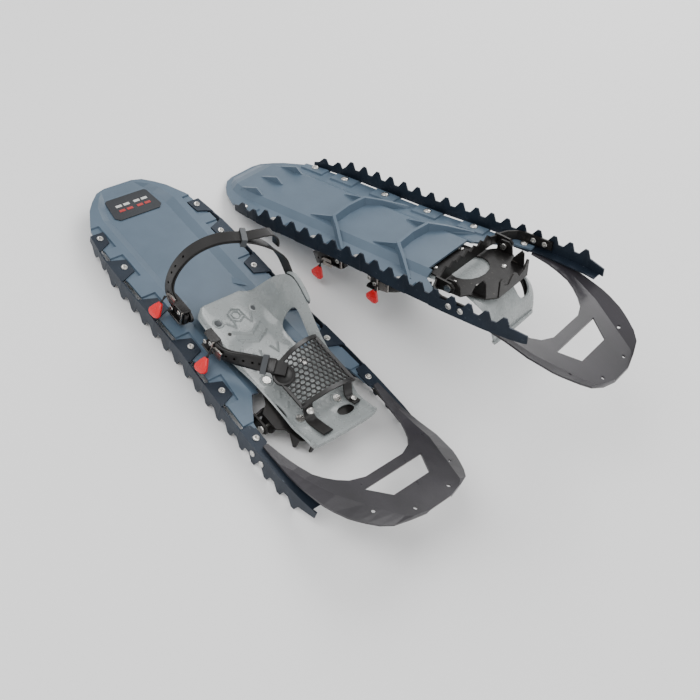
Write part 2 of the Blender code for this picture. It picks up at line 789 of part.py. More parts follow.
def make_lever(name):
    """Release lever: a plate that stands outboard of the strap, with a rounded free end."""
    length, height, thickness = LEVER
    outline = [(2, -height / 2), (2, height / 2), (-length * 0.7, height / 2), (-length, height / 4),
               (-length, -height / 4), (-length * 0.7, -height / 2)]
    return prism(name, outline, "XZ", -thickness, 0.0)


CORD_END = -11.0
TAB_END = -31.0


def make_pull_cord(name):
    """Short cord that carries a pull tab. It hangs along -Z from the origin."""
    return cylinder(name, (0, 0, 0), 1.1, CORD_END + GAP, -0.6)


def make_pull_tab(name):
    """Wedge-shaped tab, thickest and widest below its middle."""
    sections = [(CORD_END, 3.0, 2.0), (-17, 6.0, 2.6), (-25, 10.0, 2.9), (-28.5, 8.5, 2.8), (TAB_END, 4.5, 2.0)]
    corners = []
    for z, half, depth in sections:
        for u, v in ((-1, -1), (1, -1), (1, 1), (-1, 1)):
            corners.append((u * half, v * depth, z))
    return loft(name, corners)


# ---- putting the pieces on the two shoes ----
# lever hinge, and the eye that the pull tab hangs from, in the shoe's frame
LATCHES = {
    "heel": ((222.0, -71.6, 28.0), (208.0, -75.0, 28.0)),
    "forefoot": ((318.0, -71.6, 27.0), (304.0, -75.0, 26.0)),
}
DOWN_ON_LEFT = (-math.sin(math.radians(LEFT_PITCH)), 0.0, math.cos(math.radians(LEFT_PITCH)))
HANG = {
    "right": {"heel": (0.10, -0.60, -0.79), "forefoot": (0.22, -0.62, -0.72)},
    "left": {"heel": DOWN_ON_LEFT, "forefoot": DOWN_ON_LEFT},
}


def empty(name, parent, location):
    """An empty at a place in its parent's frame, in millimetres."""
    obj = bpy.data.objects.new(name, None)
    bpy.context.scene.collection.objects.link(obj)
    obj.parent = parent
    obj.location = Vector(location) * MM
    return obj


def place(piece, name, parent, origin, material):
    """Names a finished piece and hangs it on a parent that stands at origin, in the shoe's frame."""
    piece.name = name
    piece.parent = parent
    piece.location = Vector(origin) * -MM
    if not piece.data.materials:
        piece.data.materials.append(material)
        piece.data.shade_smooth()
        piece.data.set_sharp_from_angle(angle=math.radians(32))


def deck_pieces():
    return {
        "deck": (make_deck(), "deck"),
        "toe_cap": (make_toe_cap(), "toe_cap"),
        "rail_outer": (make_rail("rail_outer", -1), "steel"),
        "rail_inner": (make_rail("rail_inner", 1), "steel"),
        "crossmember": (make_crossmember(), "crampon"),
        "pivot_pin_outer": (make_pivot_pin(-1), "rivet"),
        "pivot_pin_inner": (make_pivot_pin(1), "rivet"),
    }


def binding_pieces(toe, heel):
    pieces = {
        "crampon": (make_crampon(), "crampon"),
        "base_plate": (make_base_plate(toe), "base"),
        "instep_net": (make_instep_net(toe), "strap"),
        "forefoot_strap": (make_strap("forefoot_strap", FORE), "strap"),
        "forefoot_buckle": (make_buckle("forefoot_buckle", *FORE_BUCKLE), "buckle"),
        "heel_strap": (make_strap("heel_strap", heel), "strap"),
        "heel_buckle": (make_buckle("heel_buckle", *HEEL_BUCKLE), "buckle"),
    }
    for number, (x, y) in enumerate(CRAMPON_RIVETS, 1):
        pieces[f"crampon_rivet_{number}"] = (make_crampon_rivet(x, y), "rivet")
    return pieces


def add_latch(side, which, binding, materials):
    """A buckle's release lever, and the cord and tab that pull it."""
    hinge, eye = LATCHES[which]
    lever = empty(f"{side}_{which}_lever_hinge", binding, Vector(hinge) - Vector(PIVOT))
    place(make_lever("lever"), f"{side}_{which}_lever", lever, (0, 0, 0), materials["lever"])
    pull = empty(f"{side}_{which}_pull", lever, Vector(eye) - Vector(hinge))
    pull.rotation_mode = "QUATERNION"
    pull.rotation_quaternion = Vector((0, 0, -1)).rotation_difference(Vector(HANG[side][which]))
    place(make_pull_cord("cord"), f"{side}_{which}_pull_cord", pull, (0, 0, 0), materials["strap"])
    place(make_pull_tab("tab"), f"{side}_{which}_pull_tab", pull, (0, 0, 0), materials["tab"])


def add_keeper(side, which, strap, binding, materials):
    """A keeper, on an empty whose X axis is the way it slides."""
    point, tangent, _, _ = strap_layers(strap)[keeper_station(strap)]
    slide = empty(f"{side}_{which}_keeper_slide", binding, point - Vector(PIVOT))
    slide.rotation_mode = "QUATERNION"
    slide.rotation_quaternion = tangent.to_track_quat("X", "Z")
    keeper = make_keeper("keeper", strap)
    turn_back = slide.rotation_quaternion.to_matrix().to_4x4().inverted()
    keeper.data.transform(turn_back @ Matrix.Translation(point * -MM))
    place(keeper, f"{side}_{which}_keeper", slide, (0, 0, 0), materials["keeper"])


def build_shoe(side, materials):
    root = empty(side + "_shoe", None, (0, 0, 0))
    binding = empty(side + "_binding", root, PIVOT)
    for name, (piece, kind) in deck_pieces().items():
        place(piece, f"{side}_{name}", root, (0, 0, 0), materials[kind])
    toe, heel = (TOE_FLAT, HEEL) if side == "right" else (TOE_CURLED, SLACK_HEEL)
    for name, (piece, kind) in binding_pieces(toe, heel).items():
        place(piece, f"{side}_{name}", binding, PIVOT, materials[kind])
    for which, strap in (("heel", heel), ("forefoot", FORE)):
        add_keeper(side, which, strap, binding, materials)
        add_latch(side, which, binding, materials)
    return root


def turn_over(root):
    """The left shoe mirrors the right one, lies upside down and leans with its toe up."""
    root.rotation_euler = (
        Matrix.Rotation(math.radians(LEFT_YAW), 3, "Z")
        @ Matrix.Rotation(math.radians(-LEFT_PITCH), 3, "Y")
        @ Matrix.Rotation(math.pi, 3, "X")
    ).to_euler()
    root.scale = (1, -1, 1)
    root.location = Vector(LEFT_TAIL) * MM


def stand_on_floor(shoes):
    """Sets each shoe down on the floor, and the pair's box round the origin."""
    bpy.context.view_layer.update()
    boxes = []
    for shoe in shoes:
        corners = [
            piece.matrix_world @ vertex.co
            for piece in shoe.children_recursive
            if piece.type == "MESH"
            for vertex in piece.data.vertices
        ]
        low = [min(c[k] for c in corners) for k in range(3)]
        high = [max(c[k] for c in corners) for k in range(3)]
        shoe.location.z -= low[2]
        boxes.append((low, high))
    for shoe in shoes:
        for k in range(2):
            shoe.location[k] -= (min(b[0][k] for b in boxes) + max(b[1][k] for b in boxes)) / 2


def main():
    clear_scene()
    materials = {name: make_material(name) for name in COLOURS}
    shoes = [build_shoe(side, materials) for side in ("right", "left")]
    turn_over(shoes[1])
    stand_on_floor(shoes)


main()
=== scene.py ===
"""Looks for a pair of snowshoes: materials, straps with punched holes, net, footbed and fasteners.

Both shoes are described once, in a shoe's own frame in millimetres (X tail to toe, Y to the foot's
inner side on the right shoe, Z up from the deck's rim), and placed through that shoe's matrix.
"""

import json
import math

import bmesh
import bpy
from mathutils import Matrix, Vector


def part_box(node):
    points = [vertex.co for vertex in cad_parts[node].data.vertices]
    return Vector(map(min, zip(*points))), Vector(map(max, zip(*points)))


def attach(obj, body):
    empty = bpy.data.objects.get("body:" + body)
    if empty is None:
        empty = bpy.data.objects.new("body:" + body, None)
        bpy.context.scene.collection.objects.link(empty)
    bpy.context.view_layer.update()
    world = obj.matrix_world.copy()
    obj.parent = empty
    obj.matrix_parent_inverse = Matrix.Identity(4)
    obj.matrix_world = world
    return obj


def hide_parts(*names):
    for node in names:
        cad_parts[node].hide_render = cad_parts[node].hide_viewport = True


MM = 0.001
SIDES = ("right", "left")
PIVOT = Vector((410.0, 0.0, -12.0))

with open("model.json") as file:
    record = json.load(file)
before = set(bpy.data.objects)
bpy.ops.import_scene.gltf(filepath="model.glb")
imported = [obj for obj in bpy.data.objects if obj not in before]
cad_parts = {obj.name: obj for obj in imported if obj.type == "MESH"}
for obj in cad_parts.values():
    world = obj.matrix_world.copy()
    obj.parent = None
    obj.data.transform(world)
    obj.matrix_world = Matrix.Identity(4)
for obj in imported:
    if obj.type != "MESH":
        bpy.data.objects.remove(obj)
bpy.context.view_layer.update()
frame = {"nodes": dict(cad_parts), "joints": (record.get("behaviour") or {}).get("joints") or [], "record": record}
record = frame["record"]
JOINTS = {joint["name"]: joint for joint in frame["joints"]}
MOUNTS = {mount["name"]: mount for mount in record["mounts"]}


def shoe_matrix(side):
    """From a shoe's own millimetres to the world: its pivot axis and its footbed give the frame."""
    joint = JOINTS[side + "_binding_pivot"]
    across = Vector(joint["axis"])
    up = Vector(MOUNTS[side + "_footbed"]["axis"])
    along = across.cross(up)
    inner = across if side == "right" else -across
    turn = Matrix((along, inner, up)).transposed().to_4x4()
    scale = Matrix.Scale(MM, 4)
    place = Matrix.Translation(Vector(joint["pos_m"]))
    return place @ turn @ scale @ Matrix.Translation(-PIVOT)


SHOE = {side: shoe_matrix(side) for side in SIDES}


# ---- materials ----
CLOUD_SCALE = 22.0       # noise scales, per metre
GLOSS_SCALE = 90.0
SCUFF_SCALE = 260.0
BUMP_DISTANCE = 0.0004   # metres


def node(tree, kind, **inputs):
    made = tree.nodes.new(kind)
    for name, value in inputs.items():
        made.inputs[name.replace("_", " ")].default_value = value
    return made


def noise(tree, scale, detail=4.0, stretch=(1, 1, 1)):
    """Noise over the object's own coordinates, in metres."""
    place = tree.nodes.new("ShaderNodeTexCoord")
    mapping = node(tree, "ShaderNodeMapping", Scale=stretch)
    texture = node(tree, "ShaderNodeTexNoise", Scale=scale, Detail=detail)
    tree.links.new(place.outputs["Object"], mapping.inputs["Vector"])
    tree.links.new(mapping.outputs["Vector"], texture.inputs["Vector"])
    return texture.outputs["Fac"]


def ramp(tree, source, low, high, first, last):
    """Colour ramp between two shares of a source."""
    made = tree.nodes.new("ShaderNodeValToRGB")
    made.color_ramp.elements[0].position = low
    made.color_ramp.elements[1].position = high
    made.color_ramp.elements[0].color = (*first, 1)
    made.color_ramp.elements[1].color = (*last, 1)
    tree.links.new(source, made.inputs["Fac"])
    return made.outputs["Color"]


def bump(tree, source, strength, distance):
    made = node(tree, "ShaderNodeBump", Strength=strength, Distance=distance)
    tree.links.new(source, made.inputs["Height"])
    return made.outputs["Normal"]


def scuffed(tree, tone, colour):
    """The tone with pale scuffs laid over it."""
    marks = noise(tree, SCUFF_SCALE, 6.0, (0.35, 1.6, 1.0))
    mask = ramp(tree, marks, 0.66, 0.74, (0, 0, 0), (1, 1, 1))
    mix = tree.nodes.new("ShaderNodeMix")
    mix.data_type = "RGBA"
    tree.links.new(mask, mix.inputs["Factor"])
    tree.links.new(tone, mix.inputs[6])
    mix.inputs[7].default_value = (*colour, 1)
    return mix.outputs[2]


def surface(
    name, colour, dark, roughness, grain, depth, metallic=0.0, stretch=(1, 1, 1), scuffs=None, **extra
):
    """Principled material with cloudy colour, uneven gloss, a fine grain and optional pale scuffs."""
    material = bpy.data.materials.new(name)
    material.use_nodes = True
    tree = material.node_tree
    shader = tree.nodes["Principled BSDF"]
    shader.inputs["Metallic"].default_value = metallic
    for socket, value in extra.items():
        shader.inputs[socket.replace("_", " ")].default_value = value
    tone = ramp(tree, noise(tree, CLOUD_SCALE, 5.0, stretch), 0.3, 0.7, dark, colour)
    if scuffs:
        tone = scuffed(tree, tone, scuffs)
    tree.links.new(tone, shader.inputs["Base Color"])
    spread = node(tree, "ShaderNodeMapRange", To_Min=roughness - 0.07, To_Max=roughness + 0.09)
    tree.links.new(noise(tree, GLOSS_SCALE, 3.0, stretch), spread.inputs["Value"])
    tree.links.new(spread.outputs["Result"], shader.inputs["Roughness"])
    fine = noise(tree, grain, 3.0, stretch)
    tree.links.new(bump(tree, fine, depth, BUMP_DISTANCE), shader.inputs["Normal"])
    return material


MATERIALS = {
    "moulded_deck": surface("deck_plastic", (0.088, 0.130, 0.178), (0.072, 0.110, 0.152), 0.40, 1500, 0.16),
    "toe_plastic": surface(
        "toe_plastic", (0.034, 0.031, 0.037), (0.018, 0.017, 0.020), 0.30, 900, 0.35, stretch=(0.12, 1, 1)),
    "rail_steel": surface(
        "rail_steel", (0.014, 0.024, 0.040), (0.007, 0.012, 0.021), 0.42, 1100, 0.25, 0.35,
        scuffs=(0.06, 0.075, 0.095)),
    "claw_steel": surface(
        "claw_steel", (0.018, 0.017, 0.016), (0.009, 0.008, 0.008), 0.42, 900, 0.25, 0.5,
        scuffs=(0.10, 0.09, 0.08)),
    "rivet_steel": surface("rivet_steel", (0.66, 0.65, 0.62), (0.50, 0.49, 0.47), 0.26, 700, 0.12, 1.0),
    "footbed_plastic": surface(
        "footbed_plastic", (0.38, 0.41, 0.41), (0.32, 0.35, 0.35), 0.26, 500, 0.12,
        Transmission_Weight=0.30, IOR=1.45, Coat_Weight=0.3),
    "strap_plastic": surface(
        "strap_plastic", (0.008, 0.007, 0.0065), (0.004, 0.0035, 0.0035), 0.36, 1300, 0.3),
    "keeper_rubber": surface("keeper_rubber", (0.060, 0.066, 0.072), (0.042, 0.047, 0.052), 0.5, 1300, 0.3),
    "buckle_plastic": surface(
        "buckle_plastic", (0.014, 0.013, 0.013), (0.008, 0.008, 0.008), 0.18, 600, 0.08),
    "lever_steel": surface("lever_steel", (0.42, 0.39, 0.36), (0.28, 0.26, 0.24), 0.26, 600, 0.12, 1.0),
    "tab_plastic": surface("tab_plastic", (0.74, 0.014, 0.020), (0.60, 0.008, 0.012), 0.26, 500, 0.10),
    "cord_fibre": surface(
        "cord_fibre", (0.030, 0.028, 0.027), (0.012, 0.011, 0.011), 0.7, 900, 0.8, stretch=(1, 1, 2.5)),
    "label_plate": surface("label_plate", (0.016, 0.019, 0.024), (0.010, 0.012, 0.016), 0.45, 1500, 0.2),
    "label_red": surface("label_red", (0.42, 0.030, 0.030), (0.34, 0.022, 0.022), 0.45, 1500, 0.2),
    "label_white": surface("label_white", (0.62, 0.62, 0.60), (0.52, 0.52, 0.50), 0.45, 1500, 0.2),
}


# ---- mesh helpers ----
def outward_mesh(name, matrix, points, faces):
    """A mesh of the points as the matrix places them, with no loose points and its faces outwards."""
    mesh = bpy.data.meshes.new(name)
    mesh.from_pydata([matrix @ Vector(p) for p in points], [], faces)
    bm = bmesh.new()
    bm.from_mesh(mesh)
    bmesh.ops.delete(bm, geom=[v for v in bm.verts if not v.link_faces], context="VERTS")
    bmesh.ops.recalc_face_normals(bm, faces=bm.faces)
    bm.to_mesh(mesh)
    bm.free()
    return mesh


def linked(name, data):
    obj = bpy.data.objects.new(name, data)
    bpy.context.scene.collection.objects.link(obj)
    return obj


def placed_piece(name, matrix, points, faces, body, slot, look=None):
    """A visible piece that rides on a body. Its look is its finish slot's, unless one is given."""
    mesh = outward_mesh(name, matrix, points, faces)
    piece = linked(name, mesh)
    mesh.materials.append(MATERIALS[look or slot])
    mesh.shade_smooth()
    mesh.set_sharp_from_angle(angle=math.radians(40))
    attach(piece, body)
    return piece


def mesh_piece(name, side, points, faces, body, slot, look=None):
    """A piece whose points are in its shoe's own millimetres."""
    return placed_piece(f"{side}_{name}", SHOE[side], points, faces, f"{side}_{body}", slot, look)


def bevel(piece, width, segments=2, angle=35):
    modifier = piece.modifiers.new("rounded edges", "BEVEL")
    modifier.width = width * MM
    modifier.segments = segments
    modifier.limit_method = "ANGLE"
    modifier.angle_limit = math.radians(angle)


def solidify(piece, thickness):
    modifier = piece.modifiers.new("thickness", "SOLIDIFY")
    modifier.thickness = thickness * MM
    modifier.offset = 0.0
    modifier.use_even_offset = True


def subdivide(piece, levels):
    modifier = piece.modifiers.new("smooth", "SUBSURF")
    modifier.levels = levels
    modifier.render_levels = levels


def lerp(table, x):
    if x <= table[0][0]:
        return table[0][1]
    for (x0, v0), (x1, v1) in zip(table, table[1:]):
        if x <= x1:
            return v0 + (v1 - v0) * (x - x0) / (x1 - x0)
    return table[-1][1]


def prism(outline, plane, low, high):
    """(points, faces) of a prism with an outline in plane XY or XZ."""
    place = {
        "XY": lambda a, b, c: (a, b, c),
        "XZ": lambda a, b, c: (a, c, b),
    }[plane]
    n = len(outline)
    points = [place(a, b, low) for a, b in outline] + [place(a, b, high) for a, b in outline]
    walls = [(k, (k + 1) % n, n + (k + 1) % n, n + k) for k in range(n)]
    return points, [tuple(range(n)), tuple(range(n, 2 * n)), *walls]


def turned(profile, centre, axis=(0, 0, 1), segments=24):
    """(points, faces) of a closed turned piece: the (radius, height) profile starts and ends on the axis."""
    up = Vector(axis).normalized()
    first = up.orthogonal().normalized()
    second = up.cross(first)
    points, rings = [], []
    for radius, height in profile:
        start = len(points)
        steps = segments if radius > 0 else 1
        for k in range(steps):
            angle = 2 * math.pi * k / segments
            spoke = first * math.cos(angle) + second * math.sin(angle)
            points.append(Vector(centre) + up * height + spoke * radius)
        rings.append([start + k % steps for k in range(segments + 1)])
    faces = []
    for lower, upper in zip(rings, rings[1:]):
        for k in range(segments):
            faces.append(tuple(dict.fromkeys((lower[k], lower[k + 1], upper[k + 1], upper[k]))))
    return points, faces


def loft(sections):
    """(points, faces) of a closed piece through sections with the same number of points."""
    n = len(sections[0])
    points = [point for section in sections for point in section]
    faces = []
    for k in range(len(sections) - 1):
        for m in range(n):
            a, b = n * k + m, n * k + (m + 1) % n
            faces.append((a, b, b + n, a + n))
    last = len(points) - n
    return points, [*faces, tuple(range(n)), tuple(last + m for m in range(n))]


def merged(*parts):
    points, faces = [], []
    for some_points, some_faces in parts:
        shift = len(points)
        points += list(some_points)
        faces += [tuple(v + shift for v in face) for face in some_faces]
    return points, faces


def smooth_path(points, per_span):
    pts = [Vector(p) for p in points]
    ends = [2 * pts[0] - pts[1], *pts, 2 * pts[-1] - pts[-2]]
    out = []
    for k in range(1, len(ends) - 2):
        a, b, c, d = ends[k - 1 : k + 3]
        for step in range(per_span):
            t = step / per_span
            bend = (2 * a - 5 * b + 4 * c - d) * t**2 + (3 * b - a - 3 * c + d) * t**3
            out.append(0.5 * (2 * b + (c - a) * t + bend))
    return [*out, pts[-1]]


def tangent_at(path, k):
    return (path[min(k + 1, len(path) - 1)] - path[max(k - 1, 0)]).normalized()


def frames(path, hints):
    """(point, tangent, side, normal) along a path, with each side nearest its hint."""
    out = []
    for k, point in enumerate(path):
        tangent = tangent_at(path, k)
        side = (hints[k] - tangent * hints[k].dot(tangent)).normalized()
        out.append((point, tangent, side, tangent.cross(side)))
    return out


def ribbon(stations, width, thickness, crown=0.08):
    """(points, faces) of a strap with rounded edges and a slightly raised middle."""
    profile = [
        (-0.5, -0.28), (-0.47, -0.5), (0.47, -0.5), (0.5, -0.28), (0.5, 0.28), (0.47, 0.5),
        (0.30, 0.5 + crown), (0.0, 0.5 + crown * 0.6), (-0.30, 0.5 + crown), (-0.47, 0.5), (-0.5, 0.28),
    ]
    sections = [
        [point + side * (u * width) + normal * (v * thickness) for u, v in profile]
        for point, _, side, normal in frames(*zip(*stations))
    ]
    return loft(sections)


# ---- carried-over CAD nodes ----
def slot_of(cad_name):
    return next(part["material_slot"] for part in record["subparts"] if part["node"] == cad_name)


BEVELS = {
    "deck": 0.9, "toe_cap": 0.9, "rail_outer": 0.45, "rail_inner": 0.45, "crossmember": 0.45, "crampon": 0.45,
    "heel_keeper": 0.6, "forefoot_keeper": 0.6, "heel_lever": 0.4, "forefoot_lever": 0.4,
    "pivot_pin_outer": 0.35, "pivot_pin_inner": 0.35,
}


def dress_cad_nodes():
    """Gives each CAD node its slot's material, and rounds the edges of those that stay in view."""
    for cad_name, obj in frame["nodes"].items():
        material = MATERIALS[slot_of(cad_name)]
        if obj.data.materials:
            obj.data.materials[0] = material
        else:
            obj.data.materials.append(material)
        width = BEVELS.get(cad_name.split("_", 1)[1])
        if width:
            bevel(obj, width)


# ---- fasteners ----
EDGES = (("outer", -1), ("inner", 1))
RIVET_X = (67.0, 124.0, 198.0, 272.5, 346.0, 422.0)
RIVET_Y = (77.0, 77.0, 77.8, 78.2, 84.7, 91.0)
POCKET = 2.4             # depth of the seat for a rail's lug
SHEET = 3.0              # thickness of the deck's sheet
BRACKET_X = (432.0, 449.0)
BRACKET_Z = -11.5
BRACKET_OUTSIDE = 101.4  # where the heads sit, either way from the middle
BRACKET_INSIDE = 96.0


def ring_head(radius, bore, height):
    """Rolled head with a bore in its middle."""
    return [
        (0.0, -1.2), (bore * 0.98, -1.2), (bore, height * 0.8), (bore + 0.5, height), (radius - 0.8, height),
        (radius, height * 0.45), (radius, 0.05), (bore + 0.2, 0.0), (bore + 0.1, -1.6), (0.0, -1.6),
    ]


def dome_head(radius, height):
    """Domed head on a short straight edge."""
    steps = 5
    arc = [
        (radius * math.cos(math.pi / 2 * k / steps), 0.4 + height * math.sin(math.pi / 2 * k / steps))
        for k in range(steps + 1)
    ]
    arc[-1] = (0.0, 0.4 + height)
    return [(0.0, 0.0), (radius, 0.0), *arc]


def rivet(side, name, body, spot, axis, profile, slot="rivet_steel"):
    mesh_piece(name, side, *turned(profile, spot, axis), body, slot)


def add_deck_rivets(side):
    """A rolled head on each lug, and a dome under the deck."""
    for edge, sign in EDGES:
        for k, (x, y) in enumerate(zip(RIVET_X, RIVET_Y), 1):
            top = turned(ring_head(4.3, 2.0, 1.5), (x, sign * y, 0.05))
            under = turned(dome_head(5.6, 2.8), (x, sign * y, -POCKET - SHEET - 0.05), (0, 0, -1))
            mesh_piece(f"deck_rivet_{edge}_{k}", side, *merged(top, under), "shoe", "rivet_steel")


def add_bracket_rivets(side):
    """Two rivets a side through the rail and the crossmember's bracket."""
    for edge, sign in EDGES:
        for k, x in enumerate(BRACKET_X, 1):
            outside = turned(dome_head(4.2, 1.7), (x, sign * BRACKET_OUTSIDE, BRACKET_Z), (0, sign, 0))
            inside = turned(ring_head(4.0, 1.9, 1.2), (x, sign * BRACKET_INSIDE, BRACKET_Z), (0, -sign, 0))
            mesh_piece(f"bracket_rivet_{edge}_{k}", side, *merged(outside, inside), "shoe", "rivet_steel")


# ---- footbed ----
BASE_TOP = 3.2           # height of its upper face
BASE_T = 2.4
# x, half the sole's width, then the (distance from the middle, height) of the outer and inner wall's top
BASE = [
    (228, 26, (30, 4), (30, 4)), (238, 34, (42, 7), (40, 6)), (249, 38, (54, 17), (52, 34)),
    (262, 40, (57, 22), (59, 56)), (279, 40, (58, 20), (62, 68)), (300, 40, (57, 14), (63, 57)),
    (317, 40, (55, 12), (64, 46)), (332, 40, (52, 9), (63, 36)), (350, 40, (47, 6), (62, 26)),
    (372, 40, (45, 5), (61, 18)), (396, 40, (45, 5), (60, 13)), (420, 40, (46, 6), (59, 13)),
]
# x, height, half width and how far the edge stands up
TOES = {
    "right": [(440, 3.2, 42, 8), (456, 6, 42, 11), (472, 12, 43, 8)],
    "left": [(440, 3.2, 42, 8), (456, 10, 42, 8), (466, 30, 42, 5), (469, 56, 38, 3)],
}
WALL = 13.0              # most of a wall's height above its bend
PLATE_RIVET_X = (363, 429)
PLATE_RIVET_Y = 30
BUTTON = (261, 29)
LACE_HOLE = (282, 26)
EMBLEM_X = 260
UP = (0, 0, 1)


def wall_middle(sole, wall, share):
    rise = wall[1] - BASE_TOP
    return (sole + wall[0]) / 2 + 2.0, BASE_TOP + max(rise * share, rise - WALL)


def footbed_rows(side):
    """Points across the footbed, row by row from heel to toe."""
    rows = []
    for x, sole, outer, inner in BASE:
        mid_out = wall_middle(sole, outer, 0.35)
        mid_in = wall_middle(sole, inner, 0.42)
        half = [(-outer[0], outer[1]), (-mid_out[0], mid_out[1]), (-sole, BASE_TOP), (-14.0, BASE_TOP)]
        half += [(14.0, BASE_TOP), (sole, BASE_TOP), mid_in, inner]
        rows.append([(x, y, z - BASE_T / 2) for y, z in half])
    for x, z, half, rise in TOES[side]:
        spread = [-half - 9, -half - 5, -half, -14, 14, half, half + 5, half + 9]
        lift = [rise, rise * 0.4, 0, 0, 0, 0, rise * 0.4, rise]
        rows.append([(x, y, z + up - BASE_T / 2) for y, up in zip(spread, lift)])
    return rows


def add_footbed(side):
    """The footbed as a sheet with its windows left open."""
    rows = footbed_rows(side)
    xs = [row[0][0] for row in rows]
    width = len(rows[0])

    def present(i, j):
        strut_window = j == 5 and 300 <= xs[i] < 350
        toe_window = j == 4 and 440 <= xs[i] < xs[-2]
        side_window = j == 1 and 396 <= xs[i] < 420
        return not (strut_window or toe_window or side_window)

    points = [p for row in rows for p in row]
    faces = [
        (i * width + j, i * width + j + 1, (i + 1) * width + j + 1, (i + 1) * width + j)
        for i in range(len(rows) - 1)
        for j in range(width - 1)
        if present(i, j)
    ]
    bed = mesh_piece("footbed", side, points, faces, "binding", "footbed_plastic")
    subdivide(bed, 2)
    solidify(bed, BASE_T)
    bevel(bed, 0.5, 2, 50)
    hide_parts(f"{side}_base_plate")


def ridge(points, width, height):
    """A moulded ridge of triangular section along a line of points on the footbed."""
    path = [Vector(p) for p in points]
    sections = []
    for k, point in enumerate(path):
        across = tangent_at(path, k).cross(Vector(UP)).normalized()
        taper = 0.35 if k in (0, len(path) - 1) else 1.0
        crest = point + Vector((0, 0, height * taper))
        root = point - Vector((0, 0, 0.6))
        sections.append([point - across * width / 2, crest, point + across * width / 2, root])
    return loft(sections)


def boss(x, y, radius, bore, height):
    """A round boss on the footbed with a recessed middle."""
    profile = [
        (0, -0.5), (radius + 1.2, -0.5), (radius, height), (bore + 0.8, height), (bore, height * 0.3),
        (0, height * 0.3),
    ]
    return turned(profile, (x, y, BASE_TOP))


def add_footbed_relief(side):
    """Moulded detail on the footbed: chevrons, side pips, a plain hexagon and bosses."""
    chevrons = [
        ridge([(x - 12, -22, BASE_TOP), (x, 0, BASE_TOP), (x - 12, 22, BASE_TOP)], 6.0, 3.0)
        for x in (294, 308)
    ]
    chevrons += [
        ridge([(x - 7, s * 8, BASE_TOP), (x + 6, s * 12, BASE_TOP), (x - 7, s * 20, BASE_TOP)], 5.0, 2.6)
        for s in (-1, 1)
        for x in (272, 328)
    ]
    pips = [
        ridge([(x, s * 27, BASE_TOP), (x + 9, s * 33, BASE_TOP)], 6.0, 3.2)
        for s in (-1, 1)
        for x in (308, 322, 336, 384, 400)
    ]
    corners = [
        (EMBLEM_X + 11 * math.cos(a), 11 * math.sin(a), BASE_TOP)
        for a in (math.pi / 3 * k for k in range(7))
    ]
    inner = [(EMBLEM_X + (x - EMBLEM_X) * 0.55, y * 0.55, z) for x, y, z in corners]
    marks = [ridge(corners, 3.0, 2.4), ridge(inner, 2.4, 2.0)]
    bosses = [boss(BUTTON[0], s * BUTTON[1], 7.5, 5.0, 1.3) for s in (-1, 1)]
    bosses += [boss(x, s * PLATE_RIVET_Y, 8.0, 5.8, 1.2) for s in (-1, 1) for x in PLATE_RIVET_X]
    points, faces = merged(*chevrons, *pips, *marks, *bosses)
    relief = mesh_piece("footbed_relief", side, points, faces, "binding", "footbed_plastic")
    bevel(relief, 0.3)
    for edge, s in EDGES:
        spot = (BUTTON[0], s * BUTTON[1], BASE_TOP + 0.5)
        rivet(side, f"heel_button_{edge}", "binding", spot, UP, dome_head(4.6, 0.9), "keeper_rubber")
        # Over each lace hole lies a flat black disc on the footbed: painted shade standing in for the hole's dark
        # opening, since the hole itself is not cut.
        spot = (LACE_HOLE[0], s * LACE_HOLE[1], BASE_TOP + 0.02)
        rivet(side, f"lace_hole_{edge}", "binding", spot, UP, dome_head(2.6, 0.05), "strap_plastic")


def add_toe_rim(side):
    """The thick turned edge round the footbed's toe."""
    x, z, half, rise = TOES[side][-1]
    turn = 1 if side == "right" else -1
    line = [(x - 1, -half - 8, z + rise), (x + 1, -half, z + 1), (x + 2, 0, z), (x + 1, half, z + 1)]
    line.append((x - 1, half + 8, z + rise))
    path = smooth_path(line, 4)
    hints = [Vector((1, 0, 0.3 * turn)) for _ in path]
    mesh_piece("toe_rim", side, *ribbon(list(zip(path, hints)), 5.0, 4.2, 0.1), "binding", "footbed_plastic")


def add_wing_fold(side):
    """The inner wing's top edge, folded outwards round the heel strap, with two rivets."""
    outline = [
        (0, 0.8), (3.5, 2.6), (7.0, 1.2), (7.6, -4), (7.2, -13), (5.6, -13), (5.8, -4), (5.2, -0.6),
        (3.4, 0.4), (0, -1.2),
    ]
    edge = ((266, 60.0, 59), (279, 62.2, 68), (300, 63.2, 57), (315, 64.0, 47.5))
    sections = [[(x, y + a, z + b) for a, b in outline] for x, y, z in edge]
    fold = mesh_piece("wing_fold", side, *loft(sections), "binding", "footbed_plastic")
    subdivide(fold, 1)
    for k, spot in enumerate(((271, 54.5, 41), (288, 54.0, 33)), 1):
        rivet(side, f"wing_rivet_{k}", "binding", spot, (0, -0.83, 0.55), ring_head(4.6, 2.0, 1.6))


# ---- straps ----
STRAP_T = 2.2
LAYER = 3.0              # from one layer of a doubled strap to the next
SPAN = 6                 # points in each span of a strap's path
SPRING_STEPS = 16        # stations along a strap's free end
HOLE_RADIUS = 1.7
